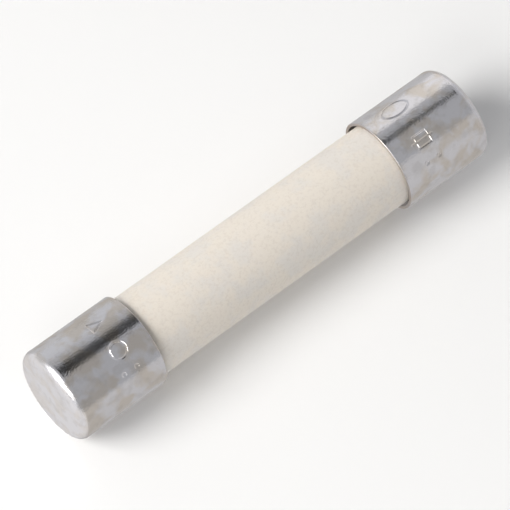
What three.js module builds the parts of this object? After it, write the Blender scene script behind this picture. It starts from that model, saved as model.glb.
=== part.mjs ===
// Ceramic cartridge fuse, 6.3 mm x 32 mm, with double end caps and a wound element packed in sand.
// Millimetres, +Z up. The fuse lies along X, and the origin is the middle of the body, on its axis.

import * as THREE from 'three';
import { mergeVertices } from 'three/addons/utils/BufferGeometryUtils.js';

// ---- Driving dimensions ------------------------------------------------------------------------

const FUSE_LENGTH = 32.3; // over the contact faces
const SLIDE_FIT = 0.01; // play between parts that are pressed or laid together
const ROUND_SEGMENTS = 48; // facets round every part that seats in another one

const CAP = {
  radius: 3.15,
  length: 6.48,
  wall: 0.2, // drawn side wall
  end: 0.3, // end wall, which carries the contact face
  corner: 0.6, // outside radius of the drawn corner
  mouthRound: 0.07, // rounded outer edge of the open end
};

const TUBE = { radius: 2.78, bore: 2.0, edge: 0.18, boreEdge: 0.1 };

const INNER_CAP = { length: 4.6, end: 0.18, corner: 0.28, hole: 0.75 };

const SOLDER = { thickness: 0.33, radius: 1.9, plug: 0.16, waist: 0.12 };

const WASHER = { thickness: 0.5, hole: 0.32, setback: 0.15 };

const WIRE = {
  radius: 0.09,
  coilRadius: 0.63, // to the wire's centre
  pitch: 0.8,
  turns: 28,
  climb: 1.5, // length in which the tail rises from the axis to the winding
  intoSolder: 0.12,
  sides: 6,
  stepsPerTurn: 12,
};

const CORE = { overhang: 0.25, radius: 0.46, plies: 3, groove: 0.08, twistPitch: 3.2, stepsPerTwist: 8 };

const BEAD = { length: 2.0, inner: 0.76, outer: 1.0, round: 0.12 };

const SAND = { play: 0.05, tailBore: 0.2, taper: 0.3 };

// ---- Places that follow from them --------------------------------------------------------------

const halfLength = FUSE_LENGTH / 2;
const capBore = CAP.radius - CAP.wall;
const capInnerFace = halfLength - CAP.end;
const innerCapFace = capInnerFace - SOLDER.thickness - 2 * SLIDE_FIT;
const tubeEnd = innerCapFace - INNER_CAP.end - SLIDE_FIT;
const washerFace = tubeEnd - WASHER.setback;
const sandEnd = washerFace - WASHER.thickness - SLIDE_FIT;
const wireEnd = innerCapFace + WIRE.intoSolder;
const windingHalf = (WIRE.turns * WIRE.pitch) / 2;

// ---- Finishes ----------------------------------------------------------------------------------

const finishes = {
  nickelPlate: { color: 0xb9b8bb, roughness: 0.28, metalness: 1.0 },
  tinPlate: { color: 0xb4ab98, roughness: 0.4, metalness: 1.0 },
  ceramic: { color: 0xeae3d7, roughness: 0.55, metalness: 0.0 },
  solder: { color: 0xa9aaae, roughness: 0.35, metalness: 1.0 },
  fibre: { color: 0x9c7b57, roughness: 0.9, metalness: 0.0 },
  glassYarn: { color: 0xf2f1ea, roughness: 0.7, metalness: 0.0 },
  silveredCopper: { color: 0xcfc6b8, roughness: 0.3, metalness: 1.0 },
  tin: { color: 0xc4c6ca, roughness: 0.4, metalness: 1.0 },
  sand: { color: 0xd9cdb6, roughness: 0.95, metalness: 0.0 },
};

// ---- Geometry helpers --------------------------------------------------------------------------

// Keeps position only and shares the vertices, so that the solid is closed along its seams.
function closed(geometry) {
  geometry.deleteAttribute('normal');
  geometry.deleteAttribute('uv');
  const solid = mergeVertices(geometry, 1e-5);
  solid.computeVertexNormals();
  return solid;
}

// Points [x, r] of a bend about its centre, from one direction to the other, in degrees from +X.
function bend(x, r, radius, from, to, steps) {
  const points = [];
  for (let step = 0; step <= steps; step += 1) {
    const angle = THREE.MathUtils.degToRad(from + ((to - from) * step) / steps);
    points.push([x + radius * Math.cos(angle), r + radius * Math.sin(angle)]);
  }
  return points;
}

// Turns a profile of [x, r] points about the X axis. Its outer side runs towards +X, and it ends
// on the axis at both ends or closes on itself.
function turned(profile, segments = ROUND_SEGMENTS) {
  const outline = profile.map(([x, r]) => new THREE.Vector2(r, x));
  const endsOnAxis = profile[0][1] === 0 && profile[profile.length - 1][1] === 0;
  if (!endsOnAxis) outline.push(outline[0].clone());
  const geometry = new THREE.LatheGeometry(outline, segments);
  geometry.rotateZ(-Math.PI / 2); // the lathe turns about Y
  return closed(geometry);
}

// A round section whose corners lie on the circle.
function roundSection(radius, sides) {
  const points = [];
  for (let side = 0; side < sides; side += 1) {
    const angle = (2 * Math.PI * side) / sides;
    points.push(new THREE.Vector2(radius * Math.cos(angle), radius * Math.sin(angle)));
  }
  return new THREE.Shape(points);
}

// ---- End caps, drawn for the +X end ------------------------------------------------------------

// Outer cup: flat contact face, round drawn corner, thin side wall and a broken edge at the mouth.
function endCap() {
  const { radius, length, wall, corner, mouthRound } = CAP;
  const mouth = halfLength - length;
  const innerCorner = corner - wall;
  const chamfer = (wall - mouthRound) / 2;
  return turned([
    [capInnerFace, 0],
    ...bend(capInnerFace - innerCorner, capBore - innerCorner, innerCorner, 0, 90, 4),
    [mouth + chamfer, capBore],
    [mouth, capBore + chamfer],
    ...bend(mouth + mouthRound, radius - mouthRound, mouthRound, 180, 90, 2),
    ...bend(halfLength - corner, radius - corner, corner, 90, 0, 6),
    [halfLength, 0],
  ]);
}

// Thin cup under it, pressed on the tube. The wire comes out through the hole in its face.
function innerCap() {
  const { length, end, corner, hole } = INNER_CAP;
  const outer = capBore - SLIDE_FIT;
  const inner = TUBE.radius + SLIDE_FIT;
  const mouth = innerCapFace - length;
  return turned([
    [innerCapFace - end, hole],
    [innerCapFace - end, inner],
    [mouth, inner],
    [mouth, outer],
    ...bend(innerCapFace - corner, outer - corner, corner, 90, 0, 4),
    [innerCapFace, hole],
  ]);
}

// Solder: a plug in the inner cap's hole, round the wire's end, and a pool that wets both caps.
function solderJoint() {
  const { radius, plug, waist } = SOLDER;
  const pool = innerCapFace + SLIDE_FIT;
  const top = capInnerFace - SLIDE_FIT;
  const wireHole = WIRE.radius + SLIDE_FIT;
  const plugRadius = INNER_CAP.hole - 2 * SLIDE_FIT;
  return turned([
    [wireEnd + SLIDE_FIT, 0],
    [wireEnd + SLIDE_FIT, wireHole],
    [pool - plug, wireHole],
    [pool - plug, plugRadius],
    [pool, plugRadius],
    [pool, radius],
    [(pool + top) / 2, radius - waist],
    [top, radius],
    [top, 0],
  ], 36);
}

// ---- Body --------------------------------------------------------------------------------------

function ceramicTube() {
  const { radius, bore, edge, boreEdge } = TUBE;
  return turned([
    [-tubeEnd, bore + boreEdge],
    ...bend(-tubeEnd + edge, radius - edge, edge, 180, 90, 2),
    ...bend(tubeEnd - edge, radius - edge, edge, 90, 0, 2),
    [tubeEnd, bore + boreEdge],
    [tubeEnd - boreEdge, bore],
    [-tubeEnd + boreEdge, bore],
  ]);
}

// Disc that closes the bore behind the inner cap and centres the wire.
function sandWasher() {
  const rim = TUBE.bore - SLIDE_FIT;
  const back = washerFace - WASHER.thickness;
  return turned([
    [back, WASHER.hole],
    [back, rim],
    [washerFace, rim],
    [washerFace, WASHER.hole],
  ]);
}

// Packed sand: it fills the bore between the washers, round the space that the element takes.
function quartzSand() {
  const rim = TUBE.bore - SLIDE_FIT;
  const room = WIRE.coilRadius + WIRE.radius + SAND.play;
  const beadRoom = BEAD.outer + SAND.play;
  const beadEnd = BEAD.length / 2 + SAND.play;
  const windingEnd = windingHalf + WIRE.climb;
  return turned([
    [-sandEnd, SAND.tailBore],
    [-sandEnd, rim],
    [sandEnd, rim],
    [sandEnd, SAND.tailBore],
    [windingEnd + SAND.taper, SAND.tailBore],
    [windingEnd, room],
    [beadEnd + SAND.taper, room],
    [beadEnd, beadRoom],
    [-beadEnd, beadRoom],
    [-beadEnd - SAND.taper, room],
    [-windingEnd, room],
    [-windingEnd - SAND.taper, SAND.tailBore],
  ]);
}

// ---- Element -----------------------------------------------------------------------------------

// Twisted yarn: a section with a lobe for each ply, drawn out along X and turned as it goes.
function elementCore() {
  const { overhang, radius, plies, groove, twistPitch, stepsPerTwist } = CORE;
  const length = 2 * (windingHalf + overhang);
  const corners = plies * 6;
  const outline = [];
  for (let corner = 0; corner < corners; corner += 1) {
    const angle = (2 * Math.PI * corner) / corners;
    const reach = radius - groove * (0.5 - 0.5 * Math.cos(plies * angle));
    outline.push(new THREE.Vector2(reach * Math.cos(angle), reach * Math.sin(angle)));
  }
  const geometry = new THREE.ExtrudeGeometry(new THREE.Shape(outline), {
    depth: length,
    steps: Math.round((length / twistPitch) * stepsPerTwist),
    bevelEnabled: false,
  });
  const position = geometry.getAttribute('position');
  const point = new THREE.Vector3();
  const drawAxis = new THREE.Vector3(0, 0, 1);
  for (let index = 0; index < position.count; index += 1) {
    point.fromBufferAttribute(position, index);
    point.applyAxisAngle(drawAxis, (2 * Math.PI * point.z) / twistPitch);
    position.setXYZ(index, point.z - length / 2, point.x, point.y);
  }
  return closed(geometry);
}

// Centre line of the wire: a tail on the axis, a climb, the turns, and the same again mirrored.
// Through the climb the wire turns ever more slowly, so it meets the winding without a kink.
class FuseWireCurve extends THREE.Curve {
  getPoint(t, target = new THREE.Vector3()) {
    const x = THREE.MathUtils.lerp(-wireEnd, wireEnd, t);
    const past = THREE.MathUtils.clamp((Math.abs(x) - windingHalf) / WIRE.climb, 0, 1);
    const radius = WIRE.coilRadius * (1 - THREE.MathUtils.smootherstep(past, 0, 1));
    const wound = Math.min(Math.abs(x), windingHalf) + WIRE.climb * (past - (past * past) / 2);
    const angle = (Math.sign(x) * 2 * Math.PI * wound) / WIRE.pitch;
    return target.set(x, radius * Math.cos(angle), radius * Math.sin(angle));
  }
}

function fuseWire() {
  const curve = new FuseWireCurve();
  curve.arcLengthDivisions = WIRE.turns * WIRE.stepsPerTurn * 8;
  const turnLength = Math.hypot(2 * Math.PI * WIRE.coilRadius, WIRE.pitch);
  const geometry = new THREE.ExtrudeGeometry(roundSection(WIRE.radius, WIRE.sides), {
    steps: Math.round((curve.getLength() / turnLength) * WIRE.stepsPerTurn),
    extrudePath: curve,
    bevelEnabled: false,
  });
  return closed(geometry);
}

// Tin band that grips the middle turns of the winding.
function tinBead() {
  const { length, inner, outer, round } = BEAD;
  const half = length / 2;
  return turned([
    [-half, inner],
    ...bend(-half + round, outer - round, round, 180, 90, 2),
    ...bend(half - round, outer - round, round, 90, 0, 2),
    [half, inner],
  ], 24);
}

// ---- Assembly ----------------------------------------------------------------------------------

function part(name, geometry, finish) {
  const mesh = new THREE.Mesh(geometry, new THREE.MeshStandardMaterial(finishes[finish]));
  mesh.name = name;
  return mesh;
}

// The pieces of one end, from the outside in. They are drawn for +X, so the left end is turned.
function endAssembly(side) {
  const end = new THREE.Group();
  end.add(
    part(`end_cap_${side}`, endCap(), 'nickelPlate'),
    part(`solder_${side}`, solderJoint(), 'solder'),
    part(`inner_cap_${side}`, innerCap(), 'tinPlate'),
    part(`sand_washer_${side}`, sandWasher(), 'fibre'),
  );
  if (side === 'left') end.rotation.z = Math.PI;
  return end;
}

const element = new THREE.Group();
element.add(
  part('element_core', elementCore(), 'glassYarn'),
  part('fuse_wire', fuseWire(), 'silveredCopper'),
  part('tin_bead', tinBead(), 'tin'),
);

const fuse = new THREE.Group();
fuse.add(
  part('ceramic_tube', ceramicTube(), 'ceramic'),
  part('quartz_sand', quartzSand(), 'sand'),
  element,
  endAssembly('left'),
  endAssembly('right'),
);

export default fuse;
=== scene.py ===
import math

import bmesh
import bpy
from bpy.props import FloatProperty, FloatVectorProperty, IntProperty, PointerProperty
from bpy.types import Operator, Panel, PropertyGroup
from mathutils import Matrix, Vector, noise


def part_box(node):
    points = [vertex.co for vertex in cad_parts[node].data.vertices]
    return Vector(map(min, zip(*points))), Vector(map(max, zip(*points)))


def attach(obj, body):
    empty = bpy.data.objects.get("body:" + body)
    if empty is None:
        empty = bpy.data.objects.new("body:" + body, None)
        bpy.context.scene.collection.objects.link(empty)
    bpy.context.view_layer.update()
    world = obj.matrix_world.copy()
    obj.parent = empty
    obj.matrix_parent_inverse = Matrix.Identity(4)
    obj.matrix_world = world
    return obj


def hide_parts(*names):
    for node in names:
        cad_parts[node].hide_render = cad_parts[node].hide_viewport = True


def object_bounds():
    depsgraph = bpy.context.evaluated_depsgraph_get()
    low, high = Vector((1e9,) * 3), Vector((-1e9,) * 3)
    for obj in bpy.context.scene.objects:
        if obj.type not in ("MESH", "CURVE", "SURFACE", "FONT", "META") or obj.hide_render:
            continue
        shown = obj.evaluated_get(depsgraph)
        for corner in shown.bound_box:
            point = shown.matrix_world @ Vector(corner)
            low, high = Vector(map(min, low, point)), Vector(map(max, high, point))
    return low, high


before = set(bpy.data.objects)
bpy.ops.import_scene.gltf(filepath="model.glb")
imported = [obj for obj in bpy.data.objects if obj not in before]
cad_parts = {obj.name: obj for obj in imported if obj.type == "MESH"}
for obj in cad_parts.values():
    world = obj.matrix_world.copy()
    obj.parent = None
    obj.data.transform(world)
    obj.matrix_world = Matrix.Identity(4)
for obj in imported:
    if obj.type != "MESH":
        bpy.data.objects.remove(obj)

bl_info = {
    "name": "Cartridge Fuse",
    "version": (1, 0, 0),
    "blender": (4, 5, 0),
    "location": "View3D > Sidebar > Fuse",
    "description": "Builds a ceramic cartridge fuse with double end caps and a wound element",
    "category": "Add Mesh",
}

# ---------------------------------------------------------------------------------------------
# Sizes that come from the frame. The fuse lies along X, and the pieces of an end are drawn for
# its right end, at +X. An angle round the fuse is 0 at the top (+Z) and grows towards -Y.
# ---------------------------------------------------------------------------------------------

MM = 0.001
FULL_TURN = 2 * math.pi
BODY = "root"

cad_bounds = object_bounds()


def span(node):
    """Where a round piece of the right end, or of the middle, begins and ends, and its radius."""
    low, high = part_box(node)
    return low.x, high.x, (high.z - low.z) / 2


CAP_MOUTH, CAP_FACE, CAP_RADIUS = span("end_cap_right")
INNER_MOUTH, INNER_FACE, INNER_RADIUS = span("inner_cap_right")
SOLDER_BACK, SOLDER_FACE, SOLDER_RADIUS = span("solder_right")
WASHER_BACK, WASHER_FACE, WASHER_RADIUS = span("sand_washer_right")
TUBE_START, TUBE_END, TUBE_RADIUS = span("ceramic_tube")
CORE_START, CORE_END, CORE_RADIUS = span("element_core")
WIRE_START, WIRE_END, WIRE_REACH = span("fuse_wire")
SAND_END, SAND_RADIUS = span("quartz_sand")[1:]
BEAD_END, BEAD_RADIUS = span("tin_bead")[1:]

GAP = 0.01 * MM  # what pieces that touch keep between them


# ---------------------------------------------------------------------------------------------
# Settings
# ---------------------------------------------------------------------------------------------


def length_setting(name, description, millimetres):
    """A length that a user may change, given in millimetres."""
    return FloatProperty(
        name=name, description=description, default=millimetres * MM, unit="LENGTH", precision=6
    )


def angle_setting(name, description, degrees):
    """An angle, given in degrees."""
    return FloatProperty(
        name=name, description=description, default=math.radians(degrees), subtype="ANGLE"
    )


def colour_setting(name, description, colour):
    return FloatVectorProperty(
        name=name, description=description, default=colour, size=3, min=0, max=1, subtype="COLOR"
    )


def glow_setting(name, description, strength):
    """How strongly the room glows, or a part of it."""
    return FloatProperty(name=name, description=description, default=strength, min=0)


def power_setting(name, description, watts):
    """The power of a lamp."""
    return FloatProperty(name=name, description=description, default=watts, min=0, unit="POWER")


class FUSE_PG_caps(PropertyGroup):
    wall: length_setting("Side wall", "Thickness of the outer cap's drawn side wall", 0.2)
    end: length_setting("End wall", "Thickness of the outer cap's contact face", 0.3)
    corner: length_setting("Corner", "Outside radius of the drawn corner", 0.6)
    lip: length_setting("Lip", "Rounding of the outer edge at the mouth", 0.05)
    dish: length_setting("Dish", "How far the punch sinks the middle of the contact face", 0.015)
    out_of_true: length_setting("Out of true", "Unevenness of the drawn wall", 0.004)
    stamp_depth: length_setting("Stamp depth", "Depth of the stamped marks", 0.052)
    stamp_stroke: length_setting("Stamp stroke", "Width of a stamped line", 0.17)
    inner_end: length_setting("Inner end", "Thickness of the inner cap's face", 0.18)
    inner_hole: length_setting("Inner hole", "Radius of the hole that the wire comes through", 0.75)
    cool: colour_setting("Cool plate", "Nickel plate where it is clean", (0.735, 0.73, 0.76))
    brass: colour_setting("Brass", "Bare brass at the sheared mouth", (0.34, 0.25, 0.18))
    warm: colour_setting("Warm plate", "Nickel plate where it is stained", (0.665, 0.62, 0.575))
    dull: colour_setting("Dull plate", "Nickel plate where it is tarnished", (0.40, 0.38, 0.36))


class FUSE_PG_tube(PropertyGroup):
    bore: length_setting("Bore", "Radius of the bore", 2.0)
    edge: length_setting("Edge", "Rounding of the outer edges", 0.18)
    unevenness: length_setting("Unevenness", "Waviness of the fired surface", 0.006)
    body: colour_setting("Body", "Fired ceramic", (0.82, 0.76, 0.68))
    clouds: colour_setting("Clouds", "Cooler clouds in the ceramic", (0.78, 0.74, 0.69))
    specks: colour_setting("Specks", "Mineral specks in the ceramic", (0.60, 0.53, 0.46))


class FUSE_PG_element(PropertyGroup):
    wire: length_setting("Wire", "Radius of the fuse wire", 0.09)
    turns: IntProperty(name="Turns", description="Turns of the winding", default=28, min=1)
    pitch: length_setting("Pitch", "Length along the core of one turn", 0.8)
    climb: length_setting("Climb", "Length in which a tail rises to the winding", 1.5)
    twist: length_setting("Twist", "Length along the core of one turn of the plies", 3.2)
    tail_bore: length_setting("Tail bore", "Room in the sand round the wire's tails", 0.2)


class FUSE_PG_stage(PropertyGroup):
    azimuth: angle_setting("Azimuth", "Camera's turn from straight in front of the fuse", -39.6)
    elevation: angle_setting("Elevation", "Camera's height above the horizon", 59.5)
    distance: length_setting("Distance", "From the camera to the middle of the fuse", 340.5)
    aim_right: length_setting("Aim right", "How far the aim is right of the fuse's middle", -0.157)
    aim_up: length_setting("Aim up", "How far the aim is above the fuse's middle", -0.165)
    lens: FloatProperty(
        name="Lens", description="Focal length", default=392.7, subtype="DISTANCE_CAMERA"
    )
    floor: colour_setting("Floor", "Seamless paper", (0.94, 0.94, 0.94))
    fill: glow_setting("Fill", "Glow of the walls", 0.32)
    window: glow_setting("Window", "Glow of the wall behind the fuse", 0.55)
    ends: glow_setting("Ends", "Glow added past the fuse's right end", 0.2)
    shine: glow_setting("Shine", "Glow added that only reflections show", 0.14)
    side: power_setting("Side", "Power of the side softbox", 0.5)
    top: power_setting("Top", "Power of the top softbox", 2.0)
    strip: power_setting("Strip", "Power of the strip light", 0.18)
    lamp: power_setting("Lamp", "Power of the small lamp", 0.26)


# ---------------------------------------------------------------------------------------------
# Shader maths
# ---------------------------------------------------------------------------------------------


class Value:
    """One socket of a shader, with the arithmetic that the finishes use."""

    def __init__(self, shader, socket):
        self.shader = shader
        self.socket = socket

    def _math(self, operation, *operands):
        return self.shader.node("ShaderNodeMath", {"operation": operation}, operands)

    def __add__(self, other):
        return self._math("ADD", self, other)

    def __sub__(self, other):
        return self._math("SUBTRACT", self, other)

    def __rsub__(self, other):
        return self._math("SUBTRACT", other, self)

    def __mul__(self, other):
        return self._math("MULTIPLY", self, other)

    __radd__ = __add__
    __rmul__ = __mul__


class Shader:
    """A material or world's nodes."""

    def __init__(self, owner):
        owner.use_nodes = True
        self.tree = owner.node_tree
        self.tree.nodes.clear()

    def node(self, kind, settings=None, inputs=(), output=0):
        """Adds a node: its settings first, then the value or the link of each socket."""
        made = self.tree.nodes.new(kind)
        for name, value in (settings or {}).items():
            setattr(made, name, value)
        for name, value in inputs.items() if isinstance(inputs, dict) else enumerate(inputs):
            if isinstance(value, Value):
                self.tree.links.new(value.socket, made.inputs[name])
            else:
                made.inputs[name].default_value = value
        return Value(self, made.outputs[output]) if len(made.outputs) else None

    def place(self):
        """Where a point of the piece is, in millimetres."""
        metres = self.node("ShaderNodeTexCoord", output="Object")
        return self.scaled(metres, (1000.0, 1000.0, 1000.0))

    def scaled(self, vector, factors):
        """The vector with each axis times its factor. A factor under 1 draws noise out there."""
        return self.node("ShaderNodeVectorMath", {"operation": "MULTIPLY"}, (vector, factors))

    def noise(self, vector, scale, detail=2.0, roughness=0.5, distortion=0.0):
        """Noise from 0 to 1, with about scale features in a millimetre."""
        return self.node(
            "ShaderNodeTexNoise",
            {"noise_dimensions": "3D"},
            {
                "Vector": vector,
                "Scale": scale,
                "Detail": detail,
                "Roughness": roughness,
                "Distortion": distortion,
            },
        )

    def between(self, value, low, high):
        """0 where the value is below low, 1 above high, and smooth from one to the other."""
        return self.node(
            "ShaderNodeMapRange",
            {"interpolation_type": "SMOOTHSTEP"},
            {"Value": value, "From Min": low, "From Max": high},
        )

    def mix(self, factor, first, second):
        """A colour between two, each a Value or three numbers. At a factor of 0 it is the first."""
        colours = [c if isinstance(c, Value) else (*c, 1.0) for c in (first, second)]
        inputs = {0: factor, 6: colours[0], 7: colours[1]}
        return self.node("ShaderNodeMix", {"data_type": "RGBA"}, inputs, output=2)

    def bump(self, height, distance, under=None):
        """Relief: distance is how high, in metres, a height of 1 stands. It adds to under's."""
        inputs = {"Strength": 1.0, "Distance": distance, "Height": height}
        if under is not None:
            inputs["Normal"] = under
        return self.node("ShaderNodeBump", {}, inputs)

    def surface(self, **sockets):
        """The closing shader. Socket names are written with _ for a space."""
        inputs = {name.replace("_", " "): value for name, value in sockets.items()}
        for name in ("Base Color", "Specular Tint", "Emission Color"):
            if name in inputs and not isinstance(inputs[name], Value):
                inputs[name] = (*inputs[name], 1.0)
        closure = self.node("ShaderNodeBsdfPrincipled", {}, inputs)
        self.node("ShaderNodeOutputMaterial", {}, {"Surface": closure})


def finish(name, lay_nodes):
    """The material called name, made once, with its nodes laid by lay_nodes(shader)."""
    material = bpy.data.materials.get(name)
    if material is None:
        material = bpy.data.materials.new(name)
        lay_nodes(Shader(material))
    return material


# ---------------------------------------------------------------------------------------------
# Finishes
# ---------------------------------------------------------------------------------------------


def nickel_plate(shader):
    """Drawn and barrel-plated nickel: cool and stained patches, fine pits, draw lines along X.

    It is brass at the sheared mouth, and rubbed to a satin on the corner and the contact face.
    """
    caps = bpy.context.scene.fuse_caps
    mouth = CAP_MOUTH / MM
    face = CAP_FACE / MM
    place = shader.place()
    patches = shader.noise(place, 0.75, detail=2.5, roughness=0.5, distortion=0.3)
    stain = shader.between(patches, 0.41, 0.62)
    mottle = shader.noise(place, 1.3, detail=3.0, roughness=0.55)
    pits = shader.noise(place, 8.0, detail=1.0, roughness=0.6)
    draw_lines = shader.noise(shader.scaled(place, (0.12, 1.0, 1.0)), 9.0, detail=2.0)
    along = shader.node("ShaderNodeSeparateXYZ", {}, (place,))
    from_middle = shader.node("ShaderNodeMath", {"operation": "ABSOLUTE"}, (along,))
    sheared = 1.0 - shader.between(from_middle, mouth, mouth + 0.045)
    rubbed = shader.between(from_middle, face - 0.6, face - 0.2)
    tarnish = shader.between(mottle, 0.48, 0.66)
    plate = shader.mix(stain * (1.0 - 0.5 * rubbed), tuple(caps.cool), tuple(caps.warm))
    tarnished = shader.mix(0.2 * tarnish, plate, tuple(caps.dull))
    coat = shader.mix(0.45 * sheared, tarnished, tuple(caps.brass))
    ripple = shader.bump(shader.noise(place, 0.45, detail=1.0), 0.030 * MM)
    grain = shader.bump(pits + 0.3 * draw_lines, 0.007 * MM, under=ripple)
    shader.surface(
        Base_Color=coat,
        Metallic=1.0,
        Roughness=0.11 + 0.10 * mottle + 0.05 * draw_lines + 0.3 * sheared + 0.14 * rubbed,
        Specular_Tint=(0.88, 0.88, 0.88),
        Normal=grain,
    )


def fired_ceramic(shader):
    """Unglazed white-ware: cream, faintly clouded, with fine specks and a chalky grain."""
    tube = bpy.context.scene.fuse_tube
    place = shader.place()
    clouds = shader.noise(place, 0.5, detail=4.0, roughness=0.6)
    specks = shader.noise(place, 5.0, detail=2.0, roughness=0.7)
    grain = shader.noise(place, 9.0, detail=3.0, roughness=0.65)
    body = shader.mix(shader.between(clouds, 0.42, 0.62), tuple(tube.body), tuple(tube.clouds))
    specked = shader.mix(0.28 * shader.between(specks, 0.44, 0.72), body, tuple(tube.specks))
    waves = shader.bump(shader.noise(place, 1.1, detail=1.0), 0.006 * MM)
    shader.surface(
        Base_Color=specked,
        Roughness=0.52 + 0.16 * grain,
        Specular_IOR_Level=0.4,
        Subsurface_Weight=0.12,
        Subsurface_Radius=(0.6, 0.5, 0.4),
        Subsurface_Scale=0.3 * MM,
        Normal=shader.bump(grain, 0.0025 * MM, under=waves),
    )


def tin_plate(shader):
    """Dull tin on the inner caps, tarnished in patches and scored along X by the press fit."""
    place = shader.place()
    tarnish = shader.between(shader.noise(place, 1.2, detail=4.0, roughness=0.6), 0.4, 0.7)
    scores = shader.noise(shader.scaled(place, (0.08, 1.0, 1.0)), 12.0, detail=2.0)
    shader.surface(
        Base_Color=shader.mix(tarnish, (0.62, 0.58, 0.51), (0.42, 0.36, 0.28)),
        Metallic=1.0,
        Roughness=0.34 + 0.2 * tarnish,
        Normal=shader.bump(scores, 0.003 * MM),
    )


def soft_solder(shader):
    """Frozen solder: grey, with a frosted skin and flux stains."""
    place = shader.place()
    frost = shader.noise(place, 6.0, detail=3.0, roughness=0.6)
    flux = shader.between(shader.noise(place, 1.4, detail=2.0), 0.52, 0.72)
    shader.surface(
        Base_Color=shader.mix(flux, (0.62, 0.62, 0.64), (0.50, 0.42, 0.28)),
        Metallic=1.0,
        Roughness=0.28 + 0.25 * frost,
        Normal=shader.bump(frost, 0.004 * MM),
    )


def vulcanised_fibre(shader):
    """Punched fibre: brown, matted, with short fibres across its faces."""
    place = shader.place()
    fibres = shader.noise(shader.scaled(place, (1.0, 0.25, 1.0)), 11.0, detail=3.0, roughness=0.7)
    matted = shader.noise(place, 2.5, detail=3.0, distortion=1.2)
    shader.surface(
        Base_Color=shader.mix(fibres, (0.44, 0.31, 0.20), (0.66, 0.52, 0.37)),
        Roughness=0.8 + 0.15 * matted,
        Normal=shader.bump(fibres + 0.8 * matted, 0.012 * MM),
    )


def glass_yarn(shader):
    """White glass filaments that run along each ply."""
    place = shader.place()
    filaments = shader.noise(shader.scaled(place, (0.25, 1.0, 1.0)), 24.0, detail=2.0)
    shader.surface(
        Base_Color=shader.mix(filaments, (0.74, 0.73, 0.68), (0.95, 0.95, 0.92)),
        Roughness=0.42 + 0.3 * filaments,
        Normal=shader.bump(filaments, 0.006 * MM),
    )


def silvered_copper(shader):
    """Silver on drawn copper wire, thin enough in places for the copper to show."""
    place = shader.place()
    thin = shader.between(shader.noise(place, 2.2, detail=4.0, roughness=0.65), 0.56, 0.74)
    drawing = shader.noise(place, 20.0, detail=1.0)
    shader.surface(
        Base_Color=shader.mix(thin, (0.84, 0.82, 0.78), (0.78, 0.48, 0.34)),
        Metallic=1.0,
        Roughness=0.22 + 0.15 * drawing,
        Normal=shader.bump(drawing, 0.0015 * MM),
    )


def cast_tin(shader):
    """Tin frozen round the winding, with a crystalline skin."""
    place = shader.place()
    crystals = shader.node(
        "ShaderNodeTexVoronoi", {"feature": "F1"}, {"Vector": place, "Scale": 3.2}
    )
    shader.surface(
        Base_Color=shader.mix(crystals, (0.80, 0.81, 0.83), (0.60, 0.61, 0.64)),
        Metallic=1.0,
        Roughness=0.24 + 0.35 * crystals,
        Normal=shader.bump(crystals, 0.006 * MM),
    )


def packed_sand(shader):
    """Quartz grains: clear, milky and tan ones, packed tight."""
    place = shader.place()
    cells = {"Vector": place, "Scale": 5.0}
    grains = shader.node("ShaderNodeTexVoronoi", {"feature": "F1"}, cells)
    kinds = shader.noise(place, 5.0, detail=1.0)
    tan = shader.mix(shader.between(kinds, 0.35, 0.65), (0.86, 0.83, 0.76), (0.70, 0.58, 0.42))
    shader.surface(
        Base_Color=shader.mix(shader.between(grains, 0.35, 0.7), tan, (0.42, 0.36, 0.28)),
        Roughness=0.45 + 0.4 * grains,
        Normal=shader.bump(1.0 - grains, 0.05 * MM),
    )


def seamless_paper(shader):
    """The studio's pale paper, with its faint tooth."""
    tooth = shader.noise(shader.place(), 1.5, detail=3.0)
    floor = tuple(bpy.context.scene.fuse_stage.floor)
    shader.surface(
        Base_Color=floor,
        Roughness=0.85,
        Specular_IOR_Level=0.2,
        Normal=shader.bump(tooth, 0.01 * MM),
    )


# ---------------------------------------------------------------------------------------------
# Modelling
# ---------------------------------------------------------------------------------------------

SMALL_BEND = 0.15 * MM  # a bend of a smaller radius takes fewer segments


def outline(corners, closed=True):
    """A wire in the XZ plane through corners of (x, radius, rounding, rows).

    The rounding is the radius of the bend there, and rows is how many points stand on the
    straight stretch to the next corner.
    """
    bm = bmesh.new()
    bends = bm.verts.layers.float.new("bend")
    rows = bm.edges.layers.int.new("rows")
    points = []
    for x, radius, rounding, _ in corners:
        point = bm.verts.new((x, 0.0, radius))
        point[bends] = rounding
        points.append(point)
    stretches = list(zip(points, points[1:] + points[:1], corners))
    for start, end, corner in stretches if closed else stretches[:-1]:
        bm.edges.new((start, end))[rows] = corner[3]
    for bend in sorted({point[bends] for point in bm.verts} - {0.0}):
        bmesh.ops.bevel(
            bm,
            geom=[point for point in bm.verts if point[bends] == bend],
            offset=bend,
            offset_type="OFFSET",
            segments=4 if bend < SMALL_BEND else 10,
            profile=0.5,
            affect="VERTICES",
            material=-1,
        )
    for cuts in sorted({edge[rows] for edge in bm.edges} - {0}):
        stretch = [edge for edge in bm.edges if edge[rows] == cuts]
        bmesh.ops.subdivide_edges(bm, edges=stretch, cuts=cuts)
    return bm


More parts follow.
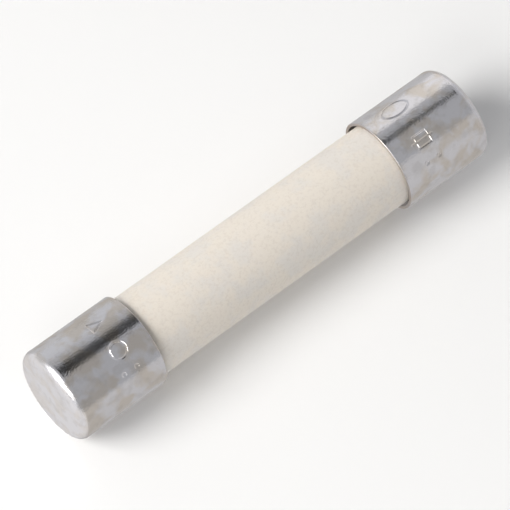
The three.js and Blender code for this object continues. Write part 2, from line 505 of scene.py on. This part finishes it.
def turn(bm, steps, fine_from=0.0, fine_arc=0.0, fine_steps=0):
    """Spins an outline about the X axis into a closed skin.

    Where fine_steps is given, that many steps make the arc that begins at fine_from, and steps
    make the rest of the turn.
    """
    sectors = [(FULL_TURN - fine_arc, steps)]
    if fine_steps:
        sectors.insert(0, (fine_arc, fine_steps))
        start = Matrix.Rotation(fine_from, 3, "X")
        bmesh.ops.rotate(bm, verts=bm.verts, cent=(0, 0, 0), matrix=start)
    geometry = bm.verts[:] + bm.edges[:]
    for arc, count in sectors:
        spun = bmesh.ops.spin(
            bm,
            geom=geometry,
            cent=(0, 0, 0),
            axis=(1, 0, 0),
            dvec=(0, 0, 0),
            angle=arc,
            steps=count,
            use_merge=len(sectors) == 1,
            use_duplicate=False,
        )
        geometry = spun["geom_last"]
    bmesh.ops.remove_doubles(bm, verts=bm.verts, dist=0.0002 * MM)
    bmesh.ops.recalc_face_normals(bm, faces=bm.faces)


def outward(vertex):
    """The direction from the fuse's axis to a vertex."""
    return Vector((0.0, vertex.co.y, vertex.co.z)).normalized()


def angle_of(vertex):
    """The angle round the fuse at which a vertex lies."""
    return math.atan2(-vertex.co.y, vertex.co.z)


def roughen(verts, amount, size, seed, inwards=0.0):
    """Moves vertices in and out by up to amount, in swells of that size, and all of them inwards."""
    shift = Vector((seed * 17.3, seed * 5.1, seed * 11.7))
    for vertex in verts:
        swell = noise.noise(vertex.co / size + shift)
        vertex.co += outward(vertex) * (swell * amount - inwards)


def build(bm, name, material, slot, *nodes):
    """Makes a finished piece of a bmesh, in place of the CAD nodes that it stands for."""
    mesh = bpy.data.meshes.new(name)
    bm.to_mesh(mesh)
    bm.free()
    for polygon in mesh.polygons:
        polygon.use_smooth = True
    mesh.materials.append(material)
    piece = bpy.data.objects.new(name, mesh)
    bpy.context.scene.collection.objects.link(piece)
    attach(piece, BODY)
    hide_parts(*nodes)


def hand(side):
    """1 for a piece of the right end, -1 for one of the left, whose angles run the other way."""
    return 1 if side == "right" else -1


def for_side(bm, side):
    """Pieces are drawn for the right end; the left end's are turned half round about Z."""
    if side == "left":
        half_turn = Matrix.Rotation(math.pi, 3, "Z")
        bmesh.ops.rotate(bm, verts=bm.verts, cent=(0, 0, 0), matrix=half_turn)


# ---------------------------------------------------------------------------------------------
# Stamped marks: plain signs, with no letters. A sign is drawn about its own middle, with u round
# the cap and v along it, and its function gives the distance to the nearest stroke or dimple.
# ---------------------------------------------------------------------------------------------

RING = 0.55 * MM  # radius
OVAL_ROUND = 0.60 * MM  # from the oval's middle to its line, round the cap
OVAL_ALONG = 0.95 * MM  # and along the cap
BOX_ROUND = 0.42 * MM  # half the box round the cap
BOX_ALONG = 0.48 * MM  # half of it along the cap
BOX_LEAD = 0.28 * MM  # how far the lead stands out of it
TRIANGLE = 0.40 * MM  # half the triangle's base, and half its height
DIMPLE_APART = 0.48 * MM  # from the middle of the pair to each dimple
DIMPLE = 0.10 * MM  # radius of a dimple's floor
SIGN_ROW = 2.2 * MM  # from the mouth to the middle of the row
SIGN_BAND = 1.05 * MM  # half the width of the band that the row takes
SIGN_START = math.radians(-50)  # where a row starts round the right cap
SIGN_ARC = math.radians(120)  # the arc that it takes
BAND_ROWS = 80  # rows of the band's mesh along the cap, close enough for the strokes
BAND_STEPS = 300  # and its steps round the arc


def to_stroke(u, v, start, end):
    """Distance from (u, v) to the stroke between two points."""
    place = Vector((u, v)) - Vector(start)
    stroke = Vector(end) - Vector(start)
    share = min(max(place.dot(stroke) / stroke.length_squared, 0.0), 1.0)
    return (place - share * stroke).length


def ring_sign(u, v):
    return abs(math.hypot(u, v) - RING)


def oval_sign(u, v):
    """A ring drawn out along the cap. Its distance is true only near the line."""
    reach = math.hypot(u / OVAL_ROUND, v / OVAL_ALONG)
    if reach < 0.5:
        return OVAL_ROUND / 2
    return abs(reach - 1.0) * reach / math.hypot(u / OVAL_ROUND**2, v / OVAL_ALONG**2)


def fuse_sign(u, v):
    """The circuit sign of a fuse: a box with its lead run through it."""
    long_side = to_stroke(abs(u), v, (BOX_ROUND, -BOX_ALONG), (BOX_ROUND, BOX_ALONG))
    short_side = to_stroke(u, abs(v), (-BOX_ROUND, BOX_ALONG), (BOX_ROUND, BOX_ALONG))
    lead = to_stroke(u, v, (0.0, -BOX_ALONG - BOX_LEAD), (0.0, BOX_ALONG + BOX_LEAD))
    return min(long_side, short_side, lead)


def triangle_sign(u, v):
    side = to_stroke(abs(u), v, (0.0, -TRIANGLE), (TRIANGLE, TRIANGLE))
    base = to_stroke(abs(u), v, (0.0, TRIANGLE), (TRIANGLE, TRIANGLE))
    return min(side, base)


def dimples_sign(u, v):
    """Two centre-punch dimples."""
    return min(math.hypot(u, v - DIMPLE_APART), math.hypot(u, v + DIMPLE_APART)) - DIMPLE


SIGN_ROWS = {
    "right": ((oval_sign, -22), (fuse_sign, 28), (dimples_sign, 55)),
    "left": ((triangle_sign, -17), (ring_sign, 23), (dimples_sign, 50)),
}


def stamp(bm, side):
    """Presses a row of signs, each at its angle in degrees, into the side wall.

    A stroke is a V groove, and a dimple has a flat floor.
    """
    caps = bpy.context.scene.fuse_caps
    row = CAP_MOUTH + SIGN_ROW
    half_stroke = caps.stamp_stroke / 2
    for vertex in bm.verts:
        out = math.hypot(vertex.co.y, vertex.co.z)
        if out < CAP_RADIUS - caps.wall / 2 or abs(vertex.co.x - row) > SIGN_BAND:
            continue
        pressed = 0.0
        for sign, angle in SIGN_ROWS[side]:
            turned = hand(side) * angle_of(vertex) - math.radians(angle)
            turned = (turned + math.pi) % FULL_TURN - math.pi
            away = sign(turned * CAP_RADIUS, vertex.co.x - row)
            pressed = max(pressed, min(1.0 - away / half_stroke, 1.0))
        vertex.co -= outward(vertex) * (pressed * caps.stamp_depth)


# ---------------------------------------------------------------------------------------------
# Pieces
# ---------------------------------------------------------------------------------------------


def end_cap(side):
    """Drawn cup: contact face with a shallow dish, round corner, thin wall and a rounded lip."""
    caps = bpy.context.scene.fuse_caps
    bore = CAP_RADIUS - caps.wall
    inside = CAP_FACE - caps.end
    lip_end = CAP_MOUTH + 2 * caps.lip
    band_start = CAP_MOUTH + SIGN_ROW - SIGN_BAND
    band_end = CAP_MOUTH + SIGN_ROW + SIGN_BAND
    clear = 0.06 * MM  # what the corner's bend keeps from the next points
    flat = CAP_RADIUS - caps.corner
    dish_rim = 0.72 * flat
    dish_floor = 0.62 * flat
    bm = outline(
        [
            (inside, 0.0, 0.0, 0),
            (inside, bore, caps.corner - caps.wall, 0),
            (lip_end, bore, 0.0, 0),
            (CAP_MOUTH, bore, caps.lip / 2, 0),
            (CAP_MOUTH, CAP_RADIUS, caps.lip, 0),
            (lip_end, CAP_RADIUS, 0.0, 10),
            (band_start, CAP_RADIUS, 0.0, BAND_ROWS),
            (band_end, CAP_RADIUS, 0.0, 26),
            (CAP_FACE - caps.corner - clear, CAP_RADIUS, 0.0, 0),
            (CAP_FACE, CAP_RADIUS, caps.corner, 0),
            (CAP_FACE, flat - clear, 0.0, 2),
            (CAP_FACE, dish_rim, 0.0, 2),
            (CAP_FACE - caps.dish, dish_floor, 0.0, 4),
            (CAP_FACE - caps.dish, 0.0, 0.0, 0),
        ],
        closed=False,
    )
    fine_from = SIGN_START if side == "right" else -SIGN_START - SIGN_ARC
    turn(bm, steps=120, fine_from=fine_from, fine_arc=SIGN_ARC, fine_steps=BAND_STEPS)
    wall = [v for v in bm.verts if v.co.x < CAP_FACE - caps.corner]
    roughen(wall, caps.out_of_true, 2.4 * MM, seed=1 + hand(side), inwards=caps.out_of_true)
    stamp(bm, side)
    for_side(bm, side)
    name = f"plated_cap_{side}"
    build(bm, name, finish("Nickel plate", nickel_plate), "nickel_plate", f"end_cap_{side}")


def ceramic_tube():
    """Extruded tube with its ends rounded, a little wavy from the kiln."""
    tube = bpy.context.scene.fuse_tube
    bore_edge = tube.edge / 2
    ring = [
        (TUBE_START, tube.bore, bore_edge, 0),
        (TUBE_START, TUBE_RADIUS, tube.edge, 0),
        (TUBE_START + 2 * tube.edge, TUBE_RADIUS, 0.0, 70),
        (TUBE_END - 2 * tube.edge, TUBE_RADIUS, 0.0, 0),
        (TUBE_END, TUBE_RADIUS, tube.edge, 0),
        (TUBE_END, tube.bore, bore_edge, 0),
    ]
    bm = outline(ring)
    turn(bm, steps=180)
    skin = [v for v in bm.verts if v.co.yz.length > (TUBE_RADIUS + tube.bore) / 2]
    roughen(skin, tube.unevenness, 3.1 * MM, seed=4, inwards=tube.unevenness / 2)
    build(bm, "tube", finish("Fired ceramic", fired_ceramic), "ceramic", "ceramic_tube")


def inner_cap(side):
    """Thin cup pressed onto the tube, with a hole in its face for the wire."""
    caps = bpy.context.scene.fuse_caps
    bore = TUBE_RADIUS + GAP
    corner = 0.28 * MM
    clear = 0.05 * MM
    inside = INNER_FACE - caps.inner_end
    bm = outline(
        [
            (inside, caps.inner_hole, 0.03 * MM, 0),
            (inside, bore, 0.08 * MM, 0),
            (INNER_MOUTH, bore, 0.03 * MM, 0),
            (INNER_MOUTH, INNER_RADIUS, 0.05 * MM, 0),
            (INNER_MOUTH + 0.1 * MM, INNER_RADIUS, 0.0, 12),
            (INNER_FACE - corner - clear, INNER_RADIUS, 0.0, 0),
            (INNER_FACE, INNER_RADIUS, corner, 0),
            (INNER_FACE, caps.inner_hole, 0.06 * MM, 0),
        ]
    )
    turn(bm, steps=128)
    for_side(bm, side)
    name = f"pierced_cap_{side}"
    build(bm, name, finish("Tin plate", tin_plate), "tin_plate", f"inner_cap_{side}")


def solder_joint(side):
    """A plug in the inner cap's hole and a pool on its face, drawn in at the waist as it froze."""
    caps = bpy.context.scene.fuse_caps
    element = bpy.context.scene.fuse_element
    wire_hole = element.wire + GAP
    hole_end = WIRE_END + GAP
    plug = caps.inner_hole - 2 * GAP
    pool = INNER_FACE + GAP
    waist = SOLDER_RADIUS - 0.14 * MM
    rough = 0.05 * MM
    bm = outline(
        [
            (hole_end, 0.0, 0.0, 0),
            (hole_end, wire_hole, 0.0, 4),
            (SOLDER_BACK, wire_hole, 0.0, 6),
            (SOLDER_BACK, plug, 0.05 * MM, 0),
            (pool, plug, 0.0, 8),
            (pool, SOLDER_RADIUS, 0.02 * MM, 0),
            ((pool + SOLDER_FACE) / 2, waist, 0.15 * MM, 0),
            (SOLDER_FACE, SOLDER_RADIUS, 0.02 * MM, 0),
            (SOLDER_FACE, 0.0, 0.0, 0),
        ],
        closed=False,
    )
    turn(bm, steps=96)
    rim = [v for v in bm.verts if v.co.yz.length > waist - 2 * rough]
    roughen(rim, rough, 0.7 * MM, seed=7, inwards=rough)
    for_side(bm, side)
    name = f"solder_pool_{side}"
    build(bm, name, finish("Soft solder", soft_solder), "solder", f"solder_{side}")


def sand_washer(side):
    """Punched disc that holds the sand in the bore, with a hole that centres the wire."""
    hole = 0.32 * MM
    burr = 0.03 * MM
    bm = outline(
        [
            (WASHER_BACK, hole, burr, 8),
            (WASHER_BACK, WASHER_RADIUS, burr, 0),
            (WASHER_FACE, WASHER_RADIUS, burr, 0),
            (WASHER_FACE, hole, burr, 0),
        ]
    )
    turn(bm, steps=96)
    for_side(bm, side)
    name = f"fibre_washer_{side}"
    material = finish("Vulcanised fibre", vulcanised_fibre)
    build(bm, name, material, "washer_fibre", f"sand_washer_{side}")


def quartz_sand():
    """Sand packed round the element: wide at the bead, narrow at the tails, rough outside."""
    element = bpy.context.scene.fuse_element
    play = 0.05 * MM
    rough = 0.05 * MM
    taper = 0.3 * MM
    room = WIRE_REACH + play
    bead_room = BEAD_RADIUS + play
    bead_end = BEAD_END + play
    winding_end = element.turns * element.pitch / 2 + element.climb
    half = [
        (bead_end, bead_room, 0.0, 0),
        (bead_end + taper, room, 0.0, 0),
        (winding_end, room, 0.0, 0),
        (winding_end + taper, element.tail_bore, 0.0, 0),
        (SAND_END, element.tail_bore, 0.0, 6),
    ]
    mirrored = [(-x, out, rounding, 0) for x, out, rounding, _ in reversed(half)]
    rim = [(SAND_END, SAND_RADIUS, 0.0, 200), (-SAND_END, SAND_RADIUS, 0.0, 6)]
    bm = outline(half + rim + mirrored)
    turn(bm, steps=110)
    outside = [v for v in bm.verts if v.co.yz.length > SAND_RADIUS - rough]
    roughen(outside, rough, 0.16 * MM, seed=9, inwards=rough)
    material = finish("Packed sand", packed_sand)
    build(bm, "sand_packing", material, "quartz_sand", "quartz_sand")


TURN_STEPS = 24  # steps in which a turn of the yarn or the winding is drawn


def element_core():
    """Three plies of yarn, each a round section that turns about X as it is drawn along it."""
    element = bpy.context.scene.fuse_element
    ply = 0.54 * CORE_RADIUS
    length = CORE_END - CORE_START
    turns = length / element.twist
    bm = bmesh.new()
    for index in range(3):
        section = bmesh.ops.create_circle(bm, cap_ends=True, segments=20, radius=ply)["verts"]
        across = Matrix.Rotation(math.pi / 2, 3, "Y")
        bmesh.ops.rotate(bm, verts=section, cent=(0, 0, 0), matrix=across)
        bmesh.ops.translate(bm, verts=section, vec=(CORE_START, 0.0, CORE_RADIUS - ply))
        around = Matrix.Rotation(index * FULL_TURN / 3, 3, "X")
        bmesh.ops.rotate(bm, verts=section, cent=(0, 0, 0), matrix=around)
        faces = list({face for vertex in section for face in vertex.link_faces})
        edges = list({edge for vertex in section for edge in vertex.link_edges})
        steps = round(turns * TURN_STEPS)
        bmesh.ops.spin(
            bm,
            geom=section + edges + faces,
            cent=(0, 0, 0),
            axis=(1, 0, 0),
            dvec=(length / steps, 0, 0),
            angle=turns * FULL_TURN,
            steps=steps,
            use_duplicate=False,
        )
    bmesh.ops.recalc_face_normals(bm, faces=bm.faces)
    build(bm, "yarn_core", finish("Glass yarn", glass_yarn), "glass_yarn", "element_core")


def wire_point(x):
    """The wire's centre line at x: wound at a steady pitch, then eased in to the axis."""
    element = bpy.context.scene.fuse_element
    winding = element.turns * element.pitch / 2
    past = min(max((abs(x) - winding) / element.climb, 0.0), 1.0)
    fall = past * past * past * (past * (past * 6 - 15) + 10)
    radius = (WIRE_REACH - element.wire) * (1 - fall)
    wound = min(abs(x), winding) + element.climb * (past - past * past / 2)
    angle = math.copysign(FULL_TURN * wound / element.pitch, x)
    return Vector((x, radius * math.cos(angle), radius * math.sin(angle)))


def wire_frame(x):
    """The wire's place at x, as a matrix whose Z axis runs along the wire."""
    near = 0.001 * MM
    along = wire_point(x + near) - wire_point(x - near)
    turned = along.to_track_quat("Z", "X").to_matrix().to_4x4()
    return Matrix.Translation(wire_point(x)) @ turned


def fuse_wire():
    """One wire, drawn ring by ring along its centre line: tail, climb, winding, climb, tail."""
    element = bpy.context.scene.fuse_element
    steps = round((WIRE_END - WIRE_START) / element.pitch * TURN_STEPS)
    bm = bmesh.new()
    ring = bmesh.ops.create_circle(bm, cap_ends=True, segments=10, radius=element.wire)["verts"]
    before = wire_frame(WIRE_START)
    bmesh.ops.transform(bm, verts=ring, matrix=before)
    edges = list({edge for vertex in ring for edge in vertex.link_edges})
    for step in range(1, steps + 1):
        here = wire_frame(WIRE_START + (WIRE_END - WIRE_START) * step / steps)
        drawn = bmesh.ops.extrude_edge_only(bm, edges=edges)["geom"]
        ring = [item for item in drawn if isinstance(item, bmesh.types.BMVert)]
        edges = [item for item in drawn if isinstance(item, bmesh.types.BMEdge)]
        edges = [edge for edge in edges if all(vertex in ring for vertex in edge.verts)]
        bmesh.ops.transform(bm, verts=ring, matrix=here @ before.inverted())
        before = here
    bmesh.ops.holes_fill(bm, edges=edges, sides=0)
    bmesh.ops.recalc_face_normals(bm, faces=bm.faces)
    material = finish("Silvered copper", silvered_copper)
    build(bm, "wound_wire", material, "silvered_copper", "fuse_wire")


def tin_bead():
    """Band of tin cast over the middle turns, lumpy outside."""
    inner = WIRE_REACH + 0.04 * MM
    edge = 0.12 * MM
    rough = 0.04 * MM
    skin_end = BEAD_END - 0.3 * MM
    bm = outline(
        [
            (-BEAD_END, inner, 0.0, 0),
            (-BEAD_END, BEAD_RADIUS, edge, 0),
            (-skin_end, BEAD_RADIUS, 0.0, 14),
            (skin_end, BEAD_RADIUS, 0.0, 0),
            (BEAD_END, BEAD_RADIUS, edge, 0),
            (BEAD_END, inner, 0.0, 0),
        ]
    )
    turn(bm, steps=72)
    skin = [v for v in bm.verts if v.co.yz.length > (inner + BEAD_RADIUS) / 2]
    roughen(skin, rough, 0.5 * MM, seed=12, inwards=rough)
    build(bm, "tin_band", finish("Cast tin", cast_tin), "tin", "tin_bead")


# ---------------------------------------------------------------------------------------------
# Stage. Lengths are in metres from the middle of the fuse.
# ---------------------------------------------------------------------------------------------

# A softbox's name, the setting that holds its power, the direction it shines from, and its size.
SOFTBOXES = (
    ("Side softbox", "side", (-0.88, 0.12, 0.42), (0.34, 0.30)),
    ("Top softbox", "top", (-0.72, 0.2, 0.66), (0.34, 0.26)),
    ("Strip light", "strip", (-0.80, -0.45, 0.38), (0.32, 0.07)),
    ("Small lamp", "lamp", (-0.67, -0.42, 0.61), (0.26, 0.08)),
)
SOFTBOX_AWAY = 0.5
SOFTBOX_LIGHT = (1.0, 0.985, 0.96)

FLOOR_REACH = 3.0
PAPER_TOP = cad_bounds[0][2]
CARD_REACH = 0.15
CARD_LIGHT = (1.0, 0.98, 0.965)

# The black card hangs over the fuse's right half and narrows towards its right end. Its corners
# run along the far edge to the right, and back along the near edge.
BLACK_HEIGHT = 0.20
BLACK_LEAN = math.radians(-14)
BLACK_FAR = ((0.0, 0.054), (0.050, 0.054), (0.060, 0.034), (0.078, 0.013), (0.100, 0.008))
BLACK_NEAR = ((0.100, -0.024), (0.078, -0.032), (0.060, -0.038), (0.050, -0.054), (0.0, -0.054))

# A card that lies on the paper: its name, left edge, right edge and glow.
LYING_CARDS = (
    ("Paper card", -CAP_FACE, CARD_REACH, 0.61),
    ("End card", -CARD_REACH, -CAP_FACE, 0.90),
)

# A card that stands in front of the right end or behind it: its name, left edge, Y, top and glow.
STANDING_CARDS = (
    ("Front card", 0.030, -0.08, 0.065, 0.62),
    ("Back card", 0.040, 0.08, 0.10, 0.95),
)


def add_camera(stage):
    """A level camera that looks at the fuse from the stage's angles."""
    azimuth, elevation = stage.azimuth, stage.elevation
    right = Vector((math.cos(azimuth), math.sin(azimuth), 0.0))
    back = Vector(
        (
            math.sin(azimuth) * math.cos(elevation),
            -math.cos(azimuth) * math.cos(elevation),
            math.sin(elevation),
        )
    )
    up = back.cross(right)
    data = bpy.data.cameras.new("Camera")
    data.lens = stage.lens
    data.clip_start = 0.01
    camera = bpy.data.objects.new("Camera", data)
    camera.matrix_world = Matrix((right, up, back)).transposed().to_4x4()
    camera.location = right * stage.aim_right + up * stage.aim_up + back * stage.distance
    bpy.context.scene.collection.objects.link(camera)
    bpy.context.scene.camera = camera


def add_softbox(name, power, toward, size):
    """An oval softbox that faces the middle of the fuse."""
    data = bpy.data.lights.new(name, "AREA")
    data.shape = "ELLIPSE"
    data.size, data.size_y = size
    data.energy = power
    data.color = SOFTBOX_LIGHT
    light = bpy.data.objects.new(name, data)
    direction = Vector(toward).normalized()
    light.location = direction * SOFTBOX_AWAY
    light.rotation_euler = direction.to_track_quat("Z", "Y").to_euler()
    bpy.context.scene.collection.objects.link(light)


def add_floor():
    """The paper that the fuse lies on."""
    bm = bmesh.new()
    bmesh.ops.create_grid(bm, x_segments=4, y_segments=4, size=FLOOR_REACH)
    bmesh.ops.translate(bm, verts=bm.verts, vec=(0.0, 0.0, PAPER_TOP))
    mesh = bpy.data.meshes.new("Floor")
    bm.to_mesh(mesh)
    bm.free()
    mesh.materials.append(finish("Seamless paper", seamless_paper))
    floor = bpy.data.objects.new("Floor", mesh)
    bpy.context.scene.collection.objects.link(floor)


def add_room(stage):
    """The room's light: pale walls, brighter behind the fuse and past its right end.

    Where the room itself is in view, it is plain white.
    """
    scene = bpy.context.scene
    world = bpy.data.worlds.new("Room")
    scene.world = world
    shader = Shader(world)
    direction = shader.node("ShaderNodeTexCoord", output="Generated")
    right = shader.node("ShaderNodeSeparateXYZ", {}, (direction,), output="X")
    behind = shader.node("ShaderNodeSeparateXYZ", {}, (direction,), output="Y")
    glow = stage.fill + (stage.window - stage.fill) * shader.between(behind, 0.5, 0.95)
    glow = glow + stage.ends * shader.between(right, 0.6, 0.95)
    glow = glow + stage.shine * shader.node("ShaderNodeLightPath", output="Is Glossy Ray")
    in_view = shader.node("ShaderNodeLightPath", output="Is Camera Ray")
    strength = glow + in_view * (1.0 - glow)
    light = {"Color": (0.98, 0.985, 1.0, 1.0), "Strength": strength}
    room = shader.node("ShaderNodeBackground", {}, light)
    shader.node("ShaderNodeOutputWorld", {}, {"Surface": room})
    scene.view_settings.view_transform = "Standard"


def add_card(name, corners, shade=0.0, glow=0.0, lean=0.0):
    """A flat card that shows only in reflections, turned by its lean about the X axis."""
    bm = bmesh.new()
    bm.faces.new([bm.verts.new(corner) for corner in corners])
    bmesh.ops.rotate(bm, verts=bm.verts, cent=(0, 0, 0), matrix=Matrix.Rotation(lean, 3, "X"))
    bmesh.ops.recalc_face_normals(bm, faces=bm.faces)
    mesh = bpy.data.meshes.new(name)
    bm.to_mesh(mesh)
    bm.free()
    matt = bpy.data.materials.new(name)
    Shader(matt).surface(
        Base_Color=(shade, shade, shade),
        Roughness=0.9,
        Emission_Color=CARD_LIGHT,
        Emission_Strength=glow,
    )
    mesh.materials.append(matt)
    card = bpy.data.objects.new(name, mesh)
    bpy.context.scene.collection.objects.link(card)
    card.visible_camera = False
    card.visible_diffuse = False
    card.visible_shadow = False


def add_cards():
    """What the caps mirror: a black card above, and glowing ones under and beside the fuse."""
    black = [(x, y, BLACK_HEIGHT) for x, y in BLACK_FAR + BLACK_NEAR]
    add_card("Black card", black, shade=0.02, lean=BLACK_LEAN)
    low = PAPER_TOP + 0.3 * MM
    for name, left, right, glow in LYING_CARDS:
        near, far = -CARD_REACH, CARD_REACH
        corners = [(left, near, low), (right, near, low), (right, far, low), (left, far, low)]
        add_card(name, corners, glow=glow)
    for name, left, y, top, glow in STANDING_CARDS:
        right = CARD_REACH
        corners = [(left, y, 0.0), (right, y, 0.0), (right, y, top), (left, y, top)]
        add_card(name, corners, glow=glow)


# ---------------------------------------------------------------------------------------------
# Operators
# ---------------------------------------------------------------------------------------------


class FUSE_OT_stage(Operator):
    """Sets the camera, the paper, the room's light, the cards and the softboxes"""

    bl_idname = "fuse.stage"
    bl_label = "Stage"

    def execute(self, context):
        stage = context.scene.fuse_stage
        add_camera(stage)
        add_floor()
        add_room(stage)
        add_cards()
        for name, setting, toward, size in SOFTBOXES:
            add_softbox(name, getattr(stage, setting), toward, size)
        return {"FINISHED"}


class FUSE_OT_end_caps(Operator):
    """Draws and stamps the two plated outer caps"""

    bl_idname = "fuse.end_caps"
    bl_label = "End Caps"

    def execute(self, context):
        end_cap("right")
        end_cap("left")
        return {"FINISHED"}


class FUSE_OT_inner_caps(Operator):
    """Draws the two pierced inner caps"""

    bl_idname = "fuse.inner_caps"
    bl_label = "Inner Caps"

    def execute(self, context):
        inner_cap("right")
        inner_cap("left")
        return {"FINISHED"}


class FUSE_OT_ceramic_tube(Operator):
    """Fires the ceramic tube"""

    bl_idname = "fuse.ceramic_tube"
    bl_label = "Ceramic Tube"

    def execute(self, context):
        ceramic_tube()
        return {"FINISHED"}


class FUSE_OT_solder(Operator):
    """Runs the solder at both ends"""

    bl_idname = "fuse.solder"
    bl_label = "Solder"

    def execute(self, context):
        solder_joint("right")
        solder_joint("left")
        return {"FINISHED"}


class FUSE_OT_filling(Operator):
    """Packs the bore with sand between two fibre washers"""

    bl_idname = "fuse.filling"
    bl_label = "Filling"

    def execute(self, context):
        quartz_sand()
        sand_washer("right")
        sand_washer("left")
        return {"FINISHED"}


class FUSE_OT_element(Operator):
    """Winds the fuse wire on its yarn core and casts the tin band"""

    bl_idname = "fuse.element"
    bl_label = "Element"

    def execute(self, context):
        element_core()
        fuse_wire()
        tin_bead()
        return {"FINISHED"}


class FUSE_PT_panel(Panel):
    bl_idname = "FUSE_PT_panel"
    bl_label = "Cartridge Fuse"
    bl_space_type = "VIEW_3D"
    bl_region_type = "UI"
    bl_category = "Fuse"

    def draw(self, context):
        for group in SETTINGS:
            box = self.layout.box()
            settings = getattr(context.scene, group)
            for name in settings.__annotations__:
                box.prop(settings, name)
        for operator in OPERATORS:
            self.layout.operator(operator.bl_idname)


SETTINGS = {
    "fuse_caps": FUSE_PG_caps,
    "fuse_tube": FUSE_PG_tube,
    "fuse_element": FUSE_PG_element,
    "fuse_stage": FUSE_PG_stage,
}
OPERATORS = (
    FUSE_OT_stage,
    FUSE_OT_end_caps,
    FUSE_OT_inner_caps,
    FUSE_OT_ceramic_tube,
    FUSE_OT_solder,
    FUSE_OT_filling,
    FUSE_OT_element,
)


def register():
    for kind in (*SETTINGS.values(), *OPERATORS, FUSE_PT_panel):
        bpy.utils.register_class(kind)
    for name, group in SETTINGS.items():
        setattr(bpy.types.Scene, name, PointerProperty(type=group))


def unregister():
    for name in SETTINGS:
        delattr(bpy.types.Scene, name)
    for kind in reversed((*SETTINGS.values(), *OPERATORS, FUSE_PT_panel)):
        bpy.utils.unregister_class(kind)


def main():
    register()
    bpy.ops.fuse.stage()
    bpy.ops.fuse.end_caps()
    bpy.ops.fuse.inner_caps()
    bpy.ops.fuse.ceramic_tube()
    bpy.ops.fuse.solder()
    bpy.ops.fuse.filling()
    bpy.ops.fuse.element()


if __name__ == "__main__":
    main()
